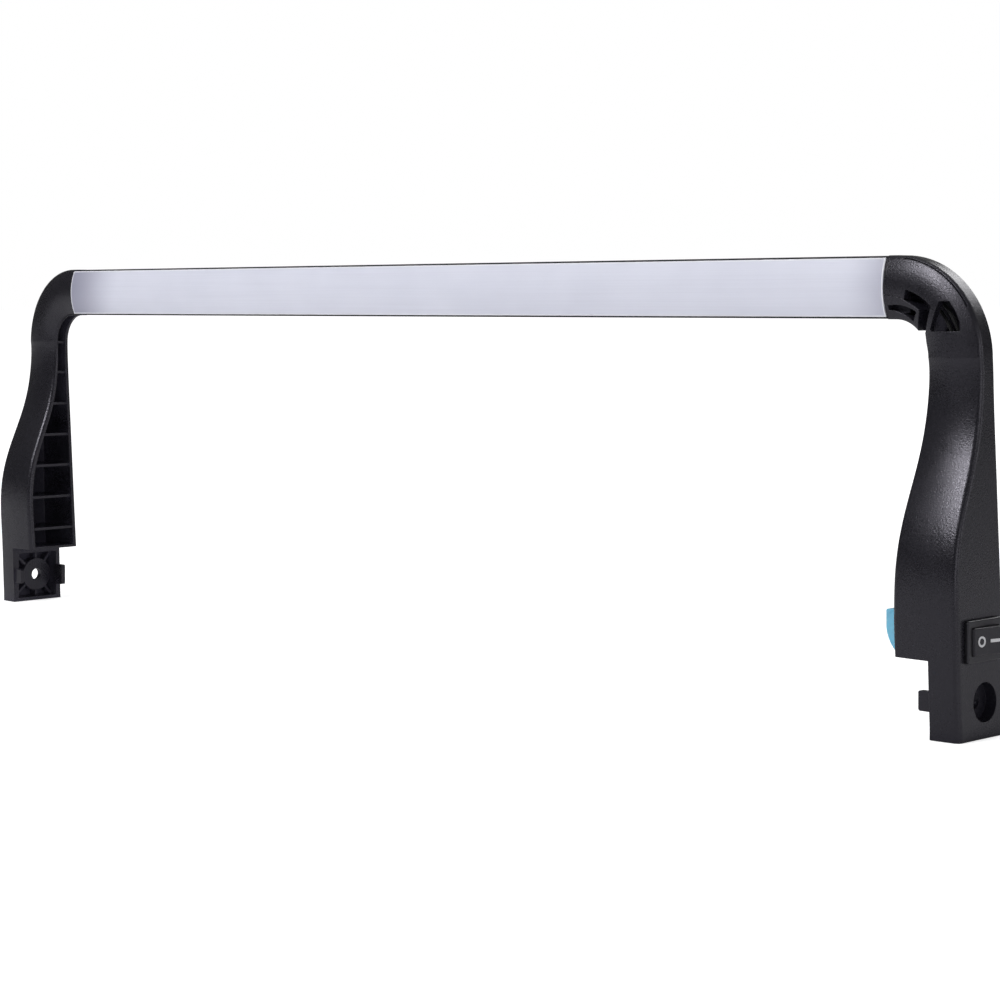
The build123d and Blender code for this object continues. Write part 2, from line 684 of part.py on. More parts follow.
def right_end_plug():
    """End plug with a way through for the leads, and the slotted lobe that closes the elbow's underside."""
    lobe = leg_form(corner=LOBE_CORNER) & lobe_prism(0.0, -10, BACK_TOP - BACK_WALL - 0.1)
    lobe -= lobe_slot(-10, SLOT_FLOOR_Y)
    plug = plug_body() + lobe
    plug -= box(200, 300, LEAD_Y - 1.1, LEAD_Y + 1.1, *LEAD_WAY)
    plug -= box(BAR_END, 300, LEAD_Y - 1.1, LEAD_Y + 1.1, LEAD_WAY[0] - 0.8, LEAD_WAY[1])
    plug -= flush_holes(leg_screw_spots(1), BACK_TOP)
    return plug


# --- rocker switch ---------------------------------------------------------------------------------------
def switch_box(x0, x1, length, height):
    """A box centred on the switch."""
    middle = Pos((x0 + x1) / 2, SWITCH_Y, SWITCH_Z)
    return middle * Box(abs(x1 - x0), length, height)


def switch_cutout():
    depth, length, height = SWITCH_BODY
    hole = switch_box(SWITCH_SEAT - depth - 0.2, SWITCH_SEAT + 1, length + 0.1, height + 0.1)
    return hole + switch_box(SWITCH_SEAT, SWITCH_SEAT + 5, BEZEL[1] + 0.2, BEZEL[2] + 0.2)


def terminal_spots():
    """Y of the common terminal and of the switched one."""
    return [SWITCH_Y, SWITCH_Y - CONTACT_REACH]


def switch_body():
    """Frame and hollow body that the rocker sits in."""
    depth, length, height = SWITCH_BODY
    bezel = switch_box(SWITCH_SEAT, SWITCH_SEAT + BEZEL[0], BEZEL[1], BEZEL[2])
    bezel = fillet(bezel.edges().filter_by(Axis.X), 0.8)
    bezel = fillet(bezel.edges().group_by(Axis.X)[-1], 0.6)
    body = bezel + switch_box(SWITCH_SEAT - depth, SWITCH_SEAT, length, height)
    for side in (-1, 1):
        end = SWITCH_Y + side * length / 2
        wedge = [
            (SWITCH_SEAT - 5.5, end - side),
            (SWITCH_SEAT - 5.5, end),
            (SWITCH_SEAT - 2.6, end + side * 0.6),
            (SWITCH_SEAT - 2.6, end - side),
        ]
        wire = Polyline(*[(x, y, SWITCH_Z - 3) for x, y in wedge], close=True)
        body += extrude(make_face(wire), amount=6, dir=(0, 0, 1))
    well_l, well_w = ROCKER_WELL
    body -= switch_box(SWITCH_SEAT - depth + WELL_FLOOR, SWITCH_SEAT + 5, well_l, well_w)
    pin_end = ROCKER_W / 2 + TRUNNION_L + 0.1
    body -= rod(TRUNNION_R + RUNNING, at_pivot(0, 0, -pin_end), at_pivot(0, 0, pin_end))
    back = SWITCH_SEAT - depth
    for y in terminal_spots():
        slot = box(back - 1, back + WELL_FLOOR + 1, *around(y, TAB_T + 0.1), *around(SWITCH_Z, TAB_W + 0.1))
        body -= slot
    return body


def tilted(shape, degrees_about_z, pivot_x):
    """Turned about the switch's own cross axis at pivot_x."""
    axis = Axis((pivot_x, SWITCH_Y, SWITCH_Z), (0, 0, 1))
    return shape.rotate(axis, degrees_about_z)


def at_pivot(height, across, up=0.0):
    """A point by its height above the pivot, its place across the rocker and its place along the axis."""
    return (ROCKER_PIVOT_X + height, SWITCH_Y + across, SWITCH_Z + up)


def rocker_end():
    """How far the rocker's top reaches each side of its pivot."""
    return sqrt(ROCKER_R ** 2 - ROCKER_END_H ** 2)


def switch_rocker():
    """Rocker with a shallow V top, round ends, two trunnions and a hollow stem for the plunger."""
    reach = rocker_end()
    foot = sqrt(ROCKER_R ** 2 - ROCKER_FOOT_H ** 2)
    half = ROCKER_W / 2
    top = Polyline(
        at_pivot(ROCKER_END_H, -reach, -half),
        at_pivot(ROCKER_MID_H, 0, -half),
        at_pivot(ROCKER_END_H, reach, -half),
    )
    right = ThreePointArc(top @ 1, at_pivot(0, ROCKER_R, -half), at_pivot(-ROCKER_FOOT_H, foot, -half))
    low = Line(right @ 1, at_pivot(-ROCKER_FOOT_H, -foot, -half))
    left = ThreePointArc(low @ 1, at_pivot(0, -ROCKER_R, -half), top @ 0)
    outline = Wire(list(top.edges()) + [right, low, left])
    rocker = extrude(make_face(outline), amount=ROCKER_W, dir=(0, 0, 1))
    upper = ROCKER_PIVOT_X + 4
    rims = [
        e for e in rocker.edges()
        if e.center().X > upper and abs(e.center().Z - SWITCH_Z) > half - 0.1
    ]
    rocker = fillet(rims, 0.5)
    tips = [
        e for e in rocker.edges().filter_by(Axis.Z)
        if e.center().X > upper and abs(e.center().Y - SWITCH_Y) > reach - 0.6
    ]
    rocker = fillet(tips, 0.45)
    rocker += rod(TRUNNION_R, at_pivot(0, 0, -half - TRUNNION_L), at_pivot(0, 0, half + TRUNNION_L))
    rocker += rod(STEM_R, at_pivot(0, 0), at_pivot(-STEM_END, 0))
    rocker -= rod(STEM_BORE, at_pivot(STEM_TOP, 0), at_pivot(-STEM_END - 1, 0))
    return tilted(rocker, -ROCKER_TILT, ROCKER_PIVOT_X)


def wing_plane(side):
    """Plane on one half of the rocker's top, at the middle of that half; its Y runs across the rocker."""
    reach = rocker_end()
    lean = atan2(ROCKER_END_H - ROCKER_MID_H, reach)
    origin = at_pivot((ROCKER_END_H + ROCKER_MID_H) / 2, side * reach / 2)
    return Plane(origin=origin, x_dir=(0, 0, 1), z_dir=(cos(lean), -side * sin(lean), 0))


def switch_marks():
    """Ring for off and bar for on, on the two halves of the rocker."""
    ring = wing_plane(-1) * (Circle(RING[0]) - Circle(RING[1]))
    dash = wing_plane(1) * Rectangle(DASH[1], DASH[0])
    marks = [extrude(ring, amount=MARK_T), extrude(dash, amount=MARK_T)]
    return Compound([tilted(mark.solid(), -ROCKER_TILT, ROCKER_PIVOT_X) for mark in marks])


def switch_plunger():
    """Round-nosed plunger in the rocker's stem."""
    nose = at_pivot(-PLUNGER_NOSE, 0)
    plunger = rod(PLUNGER_R, at_pivot(-PLUNGER_TOP, 0), nose) + Pos(*nose) * Sphere(PLUNGER_R)
    return tilted(plunger, -ROCKER_TILT, ROCKER_PIVOT_X)


def switch_spring():
    spring = coil(0.9, 0.15, at_pivot(-PLUNGER_TOP + 0.02, 0), PLUNGER_TOP + STEM_TOP - 0.04, 6, (1, 0, 0))
    return tilted(spring, -ROCKER_TILT, ROCKER_PIVOT_X)


def contact_blade():
    """See-saw blade under the plunger, with a contact at its switched end."""
    blade = switch_box(BLADE_X - BLADE_T / 2, BLADE_X + BLADE_T / 2, 2 * CONTACT_REACH + 1.8, 3.6)
    contact_y = SWITCH_Y - CONTACT_REACH
    blade += rod(0.9, (BLADE_X - BLADE_T / 2 - 0.4, contact_y, SWITCH_Z), (BLADE_X, contact_y, SWITCH_Z))
    bead_low, bead_high = around(SWITCH_Z, 3.6)
    bead = rod(BLADE_BEAD_R, (BLADE_X, SWITCH_Y, bead_low), (BLADE_X, SWITCH_Y, bead_high))
    blade += bead - switch_box(BLADE_X, BLADE_X + 2, 3, 6)
    return tilted(blade, BLADE_TILT, BLADE_X)


def switch_terminals():
    """Common terminal with the ridge under the blade's bead, and the switched terminal with its contact."""
    floor = SWITCH_SEAT - SWITCH_BODY[0] + WELL_FLOOR
    tabs = []
    for y in terminal_spots():
        tab = box(floor - 8.5, floor, *around(y, TAB_T), *around(SWITCH_Z, TAB_W))
        tab += box(floor, floor + 0.3, *around(y, 2.4), *around(SWITCH_Z, TAB_W))
        tabs.append(tab)
    ridge_x = BLADE_X - BLADE_BEAD_R - RUNNING - 0.3
    ridge_low, ridge_high = around(SWITCH_Z, 3)
    common = tabs[0] + box(floor, ridge_x, *around(SWITCH_Y, 0.6), ridge_low, ridge_high)
    common += rod(0.3, (ridge_x, SWITCH_Y, ridge_low), (ridge_x, SWITCH_Y, ridge_high))
    contact_y = terminal_spots()[1]
    switched = tabs[1] + rod(0.9, (floor, contact_y, SWITCH_Z), (floor + 0.55, contact_y, SWITCH_Z))
    return Compound([common.solid(), switched.solid()])


# --- release catch ---------------------------------------------------------------------------------------
def catch_middle():
    return (CATCH_Y[0] + CATCH_Y[1]) / 2


def release_catch():
    """Sliding catch: a nose with a flat top and a rounded lower corner, and a flange behind the cover."""
    low, high = CATCH_Z
    face = STEP_IN - 0.2
    flange_x = CATCH_FLANGE_X
    y = CATCH_Y[0]
    round_low = ThreePointArc((face, y, low), (CATCH_TIP + 1.35, y, low + 3.9), (CATCH_TIP, y, low + 8.5))
    corners = [round_low @ 1, (CATCH_TIP, y, high), (flange_x, y, high), (flange_x, y, low), round_low @ 0]
    wire = Wire([round_low] + list(Polyline(*corners).edges()))
    nose = extrude(make_face(wire), amount=CATCH_Y[1] - y, dir=(0, 1, 0))
    tip_edges = nose.edges().filter_by(Axis.Y).group_by(Axis.X)[0]
    nose = fillet([e for e in tip_edges if e.center().Z > high - 1], 0.8)
    flange = box(flange_x, flange_x + CATCH_FLANGE, y, CATCH_Y[1] + 0.6, low, high + CATCH_LIP)
    pocket_floor = (CATCH_POCKET_X, catch_middle(), CATCH_SPRING_Z)
    pocket_mouth = (flange_x + 5, catch_middle(), CATCH_SPRING_Z)
    return nose + flange - rod(CATCH_SPRING_R + 0.5, pocket_floor, pocket_mouth)


def catch_spring():
    length = CATCH_BACK - CATCH_POCKET_X - 0.04
    start = (CATCH_POCKET_X + 0.02, catch_middle(), CATCH_SPRING_Z)
    return coil(CATCH_SPRING_R - 0.3, 0.25, start, length, 8, (1, 0, 0))


def catch_screw_spots():
    """Y and Z of the two screws that hold the housing to the cover."""
    return [(CATCH_Y[1] + 3.4, 33.0), (catch_middle(), CATCH_Z[1] + 5.2)]


def catch_housing():
    """Channel that guides the catch, closed behind the spring, with a flange on the cover's inside."""
    front = CATCH_Y[0] - 0.1
    side = CATCH_Y[1] + 0.75
    low = STEP_Z + STEP_FLOOR + 0.1
    roof = CATCH_Z[1] + CATCH_LIP + 0.15
    x0 = CATCH_HOUSING_X
    block = box(x0, CATCH_BACK + 1.2, front, side + 0.9, low, roof + 1.0)
    block += box(x0, x0 + 1.2, front, side + 4.2, low, roof + 6.2)
    block -= box(x0 - 1, CATCH_BACK, front - 1, side, low - 1, roof)
    for y, z in catch_screw_spots():
        block -= rod(CATCH_SCREW_R + RUNNING, (x0 - 1, y, z), (x0 + 3, y, z))
    return block


def catch_screws():
    """Small pan-head screws from the housing's flange into the cover."""
    screws = []
    for y, z in catch_screw_spots():
        start = (CATCH_HOUSING_X + 1.2 + 0.8, y, z)
        length = start[0] - inner_face(z) - 0.9
        screws.append(pan_screw(start, (-1, 0, 0), CATCH_SCREW_R, length, 1.6, 0.8))
    return Compound(screws)


# --- electrics in the right leg --------------------------------------------------------------------------
def driver_screw_spots():
    return [(DRIVER_Y[0] + 2.2, DRIVER_Z[0] + 2.6), (DRIVER_Y[1] - 2.2, DRIVER_Z[1] - 2.6)]


def driver_board():
    board = box(DRIVER_X, DRIVER_X + DRIVER_T, *DRIVER_Y, *DRIVER_Z)
    for y, z in driver_screw_spots():
        board -= rod(DRIVER_SCREW_R + 0.1, (DRIVER_X - 1, y, z), (DRIVER_X + 5, y, z))
    return board


def driver_parts():
    """Coil, two capacitors, controller and two terminal blocks on the board."""
    y = sum(DRIVER_Y) / 2
    z = sum(DRIVER_Z) / 2
    x = DRIVER_X
    drum = rod(3.4, (x - 4.5, y - 1.2, z - 2), (x, y - 1.2, z - 2))
    parts = [fillet(drum.edges().group_by(Axis.X)[0], 0.8)]
    for dz in (-7.6, 4.2):
        can = rod(1.9, (x - 7.5, y + 2.6, z + dz + 0.6), (x, y + 2.6, z + dz + 0.6))
        parts.append(fillet(can.edges().group_by(Axis.X)[0], 0.4))
    parts.append(box(x - 1.4, x, y - 4.6, y - 0.4, z + 3.2, z + 7.6))
    parts.append(box(x - 1.0, x, y - 1.0, y + 1.8, z + 7.9, z + 9.9))
    return Compound([part.solid() for part in parts])


def driver_screws():
    screws = []
    for y, z in driver_screw_spots():
        screws.append(pan_screw((DRIVER_X - 0.9, y, z), (1, 0, 0), DRIVER_SCREW_R, 5.2, 1.8, 0.9))
    return Compound(screws)


def socket_seat():
    """Y of the flat seat for the power socket's flange."""
    return back_face(SOCKET_Z) - 0.5


def socket_cutout():
    seat = socket_seat()
    hole = rod(SOCKET_BARREL_R + 0.1, (SOCKET_X, 0, SOCKET_Z), (SOCKET_X, 20, SOCKET_Z))
    return hole + rod(SOCKET_FLANGE_R + 0.2, (SOCKET_X, seat, SOCKET_Z), (SOCKET_X, seat + 5, SOCKET_Z))


def power_socket():
    """Round low-voltage socket with its flange on the back of the leg."""
    seat = socket_seat()
    mouth = seat + 1.5

    def at(y):
        return (SOCKET_X, y, SOCKET_Z)
    flange = rod(SOCKET_FLANGE_R, at(seat), at(mouth))
    flange = fillet(flange.edges().group_by(Axis.Y)[-1], 0.5)
    body = flange + rod(SOCKET_BARREL_R, at(mouth - SOCKET_DEPTH - 2.5), at(seat))
    body -= rod(SOCKET_BORE_R, at(mouth - SOCKET_DEPTH), at(mouth + 1))
    body -= rod(SOCKET_PIN_R, at(-10), at(mouth))
    return body


def socket_contacts():
    """Centre pin with its solder tail, and the tail of the outer contact."""
    mouth = socket_seat() + 1.5
    base = mouth - SOCKET_DEPTH - 2.5

    def at(y, dx=0.0):
        return (SOCKET_X + dx, y, SOCKET_Z)
    pin = rod(SOCKET_PIN_R, at(base), at(mouth - 1)) + rod(0.5, at(base - 2.5), at(base))
    tail = rod(0.5, at(base - 2.5, 2.6), at(base, 2.6))
    return Compound([pin.solid(), tail.solid()])


def socket_nut():
    """Hexagonal nut inside the back wall."""
    face = back_face(SOCKET_Z) - BACK_WALL - 0.15
    frame = Plane(origin=(SOCKET_X, face - 2.0, SOCKET_Z), z_dir=(0, 1, 0), x_dir=(1, 0, 0))
    hexagon = frame * (RegularPolygon(5.0, 6, major_radius=False) - Circle(SOCKET_BARREL_R + RUNNING))
    return extrude(hexagon, amount=2.0)


def run_through(points, first, last):
    """A lead through points, leaving along first and arriving along last."""
    path = Spline(*points, tangents=[first, last])
    return wire_run(path).solid()


def lead_heights():
    return [LEAD_WAY[0] + 1.2, LEAD_WAY[1] - 1.2]


def supply_leads():
    """From the socket to the switch and to the driver board."""
    base = socket_seat() + 1.5 - SOCKET_DEPTH - 2.5
    tail = base - 2.55
    switched_y = terminal_spots()[1]
    end_x = SWITCH_SEAT - SWITCH_BODY[0] + WELL_FLOOR - 8.55
    switch_path = [
        (SOCKET_X, tail, SOCKET_Z),
        (SOCKET_X - 4.5, tail - 1.6, SOCKET_Z - 3.5),
        (end_x - 2.2, switched_y + 0.4, 41.5),
        (end_x, switched_y, SWITCH_Z),
    ]
    driver_path = [
        (SOCKET_X + 2.6, tail, SOCKET_Z),
        (SOCKET_X + 3.2, tail - 1.2, 58.0),
        (DRIVER_X - LEAD_END_GAP, 0.5, 67.6),
    ]
    to_switch = run_through(switch_path, (0, -1, 0), (1, 0, 0))
    to_driver = run_through(driver_path, (0, -1, 0), (1, 0, 0.1))
    return Compound([to_switch, to_driver])


def switch_leads():
    """From the switch's common terminal up to the driver board."""
    end_x = SWITCH_SEAT - SWITCH_BODY[0] + WELL_FLOOR - 8.55
    path = [
        (end_x, SWITCH_Y, SWITCH_Z),
        (end_x - 2.4, SWITCH_Y, 41.0),
        (end_x - 1.2, -0.9, 55.0),
        (DRIVER_X - LEAD_END_GAP, -1.0, 72.2),
    ]
    return run_through(path, (-1, 0, 0), (1, 0, 0.1))


def led_leads():
    """Two leads from the driver board, round the elbow and through the end plug to the connector."""
    leads = []
    for start_y, z_top in zip((2.2, -1.8), lead_heights()):
        radius = z_top - ELBOW_Z
        x = ELBOW_X + radius
        path = [
            (DRIVER_X - LEAD_END_GAP, start_y, DRIVER_Z[1] - 1.6),
            (x, 0.0, 98.0),
            (x, 1.0, 106.0),
            (x, LEAD_Y - 0.4, 116.0),
            (x, LEAD_Y, 126.0),
            (x, LEAD_Y, ELBOW_Z),
        ]
        rise = Spline(*path, tangents=[(-1, 0, 0.1), (0, 0, 1)])
        middle_x, middle_z = polar(radius, 45)
        turn = ThreePointArc((x, LEAD_Y, ELBOW_Z), (middle_x, LEAD_Y, middle_z), (ELBOW_X, LEAD_Y, z_top))
        run = Line((ELBOW_X, LEAD_Y, z_top), (BOARD_HALF_L - 3.9, LEAD_Y, z_top))
        leads.append(wire_run(Wire([rise, turn, run])).solid())
    return Compound(leads)


PARTS = [
    bar_housing, diffuser, thermal_tape, led_board, led_chips, led_connector, left_end_plug, right_end_plug,
    bar_screws, leg_screws, left_leg, right_leg, right_leg_cover, cover_screws, switch_body, switch_rocker,
    switch_marks, switch_plunger, switch_spring, contact_blade, switch_terminals, release_catch,
    catch_spring, catch_housing, catch_screws, driver_board, driver_parts, driver_screws, power_socket,
    socket_contacts, socket_nut, supply_leads, switch_leads, led_leads,
]
TO_ORIGIN = Pos((FIX_FLOOR_IN + FIX_FLOOR_OUT) / 2, 0, -FIX_Z)

os.makedirs("parts", exist_ok=True)
for make in PARTS:
    export_step(TO_ORIGIN * make(), f"parts/{make.__name__}.step")
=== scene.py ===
import bpy
import bmesh
import json
from math import cos, radians, sin, tau
from mathutils import Matrix, Vector


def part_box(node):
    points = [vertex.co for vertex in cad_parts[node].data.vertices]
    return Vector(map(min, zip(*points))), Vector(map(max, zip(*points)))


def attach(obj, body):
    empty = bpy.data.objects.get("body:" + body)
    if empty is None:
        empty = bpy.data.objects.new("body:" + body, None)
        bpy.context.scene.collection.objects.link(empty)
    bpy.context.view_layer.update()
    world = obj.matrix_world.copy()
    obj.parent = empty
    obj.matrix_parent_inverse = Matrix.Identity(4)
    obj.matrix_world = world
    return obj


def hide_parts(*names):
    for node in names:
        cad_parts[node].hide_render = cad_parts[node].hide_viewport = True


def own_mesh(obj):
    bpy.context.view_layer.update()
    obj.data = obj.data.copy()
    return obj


# Finishes, added pieces, lights and camera for the slim light bar on two curved legs. Lengths are
# in metres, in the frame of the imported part: X runs along the bar, -Y is the diffuser's side, Z up.

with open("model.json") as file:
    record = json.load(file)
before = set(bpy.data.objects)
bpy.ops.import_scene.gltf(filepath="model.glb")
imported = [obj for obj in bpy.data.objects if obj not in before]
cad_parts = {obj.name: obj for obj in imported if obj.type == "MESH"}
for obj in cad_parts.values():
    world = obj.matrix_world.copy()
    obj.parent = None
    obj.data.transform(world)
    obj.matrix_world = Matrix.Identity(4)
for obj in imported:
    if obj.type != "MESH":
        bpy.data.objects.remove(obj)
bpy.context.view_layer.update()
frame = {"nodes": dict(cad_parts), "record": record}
nodes = frame["nodes"]

MM = 0.001


def middle_of(node):
    low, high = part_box(node)
    return (low + high) / 2


BAR_MIDDLE = middle_of("bar_housing")
FEET_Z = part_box("right_leg")[0].z
# the point between the two feet that the camera and the lights are placed from
STAGE_MIDDLE = Vector((BAR_MIDDLE.x, 0.0, FEET_Z))


# --- shader building -----------------------------------------------------------------------------
FLAT_DOT, WORN_DOT = 0.995, 0.9       # softened normal against the true one: open faces, worn edges
SHUT_LIGHT, OPEN_LIGHT = 0.3, 0.8     # unblocked light that counts as a narrow opening, and as open


def scaled(colour, gain, lift=0.0):
    """The colour made brighter or darker, then lifted by the same amount on each channel."""
    return tuple(gain * c + lift for c in colour)


class Finish:
    """One node-based material, with short calls for the nodes that the finishes share."""

    def __init__(self, name):
        self.material = bpy.data.materials.new(name)
        self.material.use_nodes = True
        self.tree = self.material.node_tree
        self.tree.nodes.clear()
        self.skin = self.node("ShaderNodeBsdfPrincipled")
        output = self.node("ShaderNodeOutputMaterial")
        self.tree.links.new(self.skin.outputs["BSDF"], output.inputs["Surface"])
        self.place = self.node("ShaderNodeTexCoord").outputs["Object"]

    def node(self, kind, **settings):
        made = self.tree.nodes.new(kind)
        for key, value in settings.items():
            setattr(made, key, value)
        return made

    def feed(self, socket, value):
        """Gives a socket another socket's value, or a plain one."""
        if isinstance(value, bpy.types.NodeSocket):
            self.tree.links.new(value, socket)
        elif socket.type == "RGBA" and len(value) == 3:
            socket.default_value = (*value, 1.0)
        else:
            socket.default_value = value

    def stretched(self, scale):
        """The place, scaled differently along X, Y and Z."""
        mapping = self.node("ShaderNodeMapping")
        self.feed(mapping.inputs["Vector"], self.place)
        mapping.inputs["Scale"].default_value = scale
        return mapping.outputs["Vector"]

    def noise(self, scale, detail=3.0, rough=0.55, place=None):
        made = self.node("ShaderNodeTexNoise")
        self.feed(made.inputs["Vector"], place or self.place)
        made.inputs["Scale"].default_value = scale
        made.inputs["Detail"].default_value = detail
        made.inputs["Roughness"].default_value = rough
        return made.outputs["Fac"]

    def cells(self, scale):
        made = self.node("ShaderNodeTexVoronoi", feature="SMOOTH_F1")
        self.feed(made.inputs["Vector"], self.place)
        made.inputs["Scale"].default_value = scale
        made.inputs["Smoothness"].default_value = 0.4
        return made.outputs["Distance"]

    def spread(self, value, from_low, from_high, to_low, to_high):
        made = self.node("ShaderNodeMapRange")
        self.feed(made.inputs["Value"], value)
        for name, number in zip(("From Min", "From Max", "To Min", "To Max"),
                                (from_low, from_high, to_low, to_high)):
            self.feed(made.inputs[name], number)
        return made.outputs["Result"]

    def maths(self, operation, first, second=0.0, third=0.0):
        made = self.node("ShaderNodeMath", operation=operation)
        for socket, value in zip(made.inputs, (first, second, third)):
            self.feed(socket, value)
        return made.outputs["Value"]

    def mix(self, share, first, second):
        made = self.node("ShaderNodeMix", data_type="RGBA")
        self.feed(made.inputs["Factor"], share)
        colour_a, colour_b = [socket for socket in made.inputs if socket.type == "RGBA"]
        self.feed(colour_a, first)
        self.feed(colour_b, second)
        return [socket for socket in made.outputs if socket.type == "RGBA"][0]

    def axis(self, letter):
        made = self.node("ShaderNodeSeparateXYZ")
        self.feed(made.inputs["Vector"], self.place)
        return made.outputs[letter]

    def soft_normal(self, radius):
        """The normal, softened across edges by this radius."""
        made = self.node("ShaderNodeBevel", samples=4)
        made.inputs["Radius"].default_value = radius
        return made.outputs["Normal"]

    def edge_mask(self, softened):
        """Near 1 on worn outer edges, 0 on open faces."""
        normal = self.node("ShaderNodeNewGeometry").outputs["Normal"]
        dot = self.node("ShaderNodeVectorMath", operation="DOT_PRODUCT")
        self.feed(dot.inputs[0], softened)
        self.feed(dot.inputs[1], normal)
        return self.spread(dot.outputs["Value"], FLAT_DOT, WORN_DOT, 0.0, 1.0)

    def openness(self, reach):
        """Near 1 on open faces, and near 0 in narrow openings."""
        made = self.node("ShaderNodeAmbientOcclusion", samples=4)
        made.inputs["Distance"].default_value = reach
        return self.spread(made.outputs["AO"], SHUT_LIGHT, OPEN_LIGHT, 0.0, 1.0)

    def bump(self, height, depth, under=None):
        made = self.node("ShaderNodeBump")
        self.feed(made.inputs["Height"], height)
        made.inputs["Distance"].default_value = depth
        made.inputs["Strength"].default_value = 1.0
        if under is not None:
            self.feed(made.inputs["Normal"], under)
        return made.outputs["Normal"]

    def wear(self, **values):
        """Sets the skin's inputs by name, with underscores for spaces."""
        for key, value in values.items():
            self.feed(self.skin.inputs[key.replace("_", " ")], value)
        return self


PLASTIC_SPECULAR = 0.5
PAINTED_SHADE_SHINE = 0.15       # share of the shine that is left in narrow openings, where the rest is cut as painted shade


def moulded(name, colour, rough=0.28, grain=1800.0, depth=0.06 * MM, edge=0.25 * MM,
            sheen=(1.0, 1.0, 1.0), cavity=0.0, cavity_painted_light=3.0):
    """Moulded plastic with a fine spark-eroded grain, faint mottling and rubbed edges.

    With a cavity reach, openings narrower than that lose their shine, as painted shade, and take
    the colour times the given lift, a paler colour that is painted light.
    """
    f = Finish(name)
    soft = f.soft_normal(edge)
    rubbed = f.edge_mask(soft)
    mottle = f.noise(38.0, detail=4.0)
    pits = f.noise(grain, rough=0.6)
    cells = f.cells(grain * 0.8)
    shade = f.mix(f.spread(mottle, 0.3, 0.7, 0.0, 1.0), scaled(colour, 0.88), scaled(colour, 1.12))
    fleck = f.mix(f.spread(pits, 0.5, 0.75, 0.0, 0.35), shade, scaled(colour, 1.9, 0.004))
    skin = f.mix(f.maths("MULTIPLY", rubbed, 0.35), fleck, scaled(colour, 2.4, 0.01))
    grainy = f.maths("ADD", pits, f.maths("MULTIPLY", cells, 0.5))
    specular = PLASTIC_SPECULAR
    if cavity:
        # painted light and shade in narrow openings: the colour is raised and most of the shine is
        # cut
        is_open = f.openness(cavity)
        skin = f.mix(is_open, scaled(colour, cavity_painted_light), skin)
        specular = f.spread(is_open, 0.0, 1.0, PAINTED_SHADE_SHINE * PLASTIC_SPECULAR, PLASTIC_SPECULAR)
    f.wear(
        Base_Color=skin,
        Specular_Tint=sheen,
        Roughness=f.spread(f.maths("ADD", pits, mottle), 0.7, 1.3, rough - 0.06, rough + 0.08),
        Specular_IOR_Level=specular,
        Normal=f.bump(grainy, depth, soft),
    )
    return f.material


def satin_profile(name, colour):
    """Extruded profile: fine lines along X."""
    f = Finish(name)
    soft = f.soft_normal(0.12 * MM)
    lines = f.noise(1.0, detail=2.0, rough=0.5, place=f.stretched((6.0, 5200.0, 5200.0)))
    cloud = f.noise(30.0)
    f.wear(
        Base_Color=f.mix(f.spread(cloud, 0.3, 0.7, 0.0, 1.0), colour, scaled(colour, 1.25)),
        Roughness=f.spread(lines, 0.3, 0.7, 0.34, 0.48),
        Normal=f.bump(lines, 0.006 * MM, soft),
    )
    return f.material


# how far the painted shade at the ends of the diffuser reaches in, and how much light the right end
# keeps
LEFT_SHADE, RIGHT_SHADE, RIGHT_END_LIGHT = 42 * MM, 20 * MM, 0.45
# where the painted highlight along the rim starts and is full, in from the long edges and from the
# ends
EDGE_RIM = (0.9 * MM, 0.5 * MM)
END_RIM = (0.8 * MM, 0.4 * MM)
OPAL_LOW, OPAL_HIGH, OPAL_STREAK = (0.72, 0.735, 0.84), (0.77, 0.785, 0.89), (0.57, 0.57, 0.67)
# the painted shade at the ends, and the painted highlight along the rim
OPAL_SHADED, OPAL_RIM_HIGHLIGHT = (0.33, 0.33, 0.42), (0.86, 0.87, 0.92)


def opal(name):
    """Opal diffuser: pale, faintly streaked along X, painted shade over the end plugs, painted edge
    highlight.
    """
    f = Finish(name)
    low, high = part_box("diffuser")
    x = f.axis("X")
    z = f.axis("Z")

    def rim(place, middle, half, reach):
        """1 within reach of the border that is half away from the middle, else 0."""
        away = f.maths("ABSOLUTE", f.maths("SUBTRACT", place, middle))
        return f.spread(away, half - reach[0], half - reach[1], 0.0, 1.0)

    left = f.spread(x, low.x, low.x + LEFT_SHADE, 0.0, 1.0)
    right = f.spread(x, high.x - RIGHT_SHADE, high.x, 1.0, RIGHT_END_LIGHT)
    ease = f.node("ShaderNodeMapRange", interpolation_type="SMOOTHSTEP")
    f.feed(ease.inputs["Value"], f.maths("SMOOTH_MIN", left, right, 0.2))
    streaks = f.noise(1.0, rough=0.6, place=f.stretched((9.0, 40.0, 1400.0)))
    cloud = f.noise(26.0, detail=2.0)
    pale = f.mix(f.spread(cloud, 0.3, 0.7, 0.0, 1.0), OPAL_LOW, OPAL_HIGH)
    streaked = f.mix(f.spread(streaks, 0.35, 0.7, 0.0, 0.16), pale, OPAL_STREAK)
    # painted shade over the end plugs, lighter at the right end
    shaded = f.mix(ease.outputs["Result"], OPAL_SHADED, streaked)
    # painted highlight along the long edges and the ends
    rim_highlights = f.maths("MAXIMUM", rim(z, BAR_MIDDLE.z, (high.z - low.z) / 2, EDGE_RIM),
                   rim(x, BAR_MIDDLE.x, high.x - BAR_MIDDLE.x, END_RIM))
    f.wear(
        Base_Color=f.mix(f.maths("MULTIPLY", rim_highlights, 0.8), shaded, OPAL_RIM_HIGHLIGHT),
        Roughness=f.spread(streaks, 0.3, 0.7, 0.34, 0.42),
        Specular_IOR_Level=0.42,
        Subsurface_Weight=0.12,
        Subsurface_Radius=(1.0, 0.95, 1.0),
        Subsurface_Scale=1.2 * MM,
        Normal=f.bump(streaks, 0.004 * MM, f.soft_normal(0.15 * MM)),
    )
    return f.material


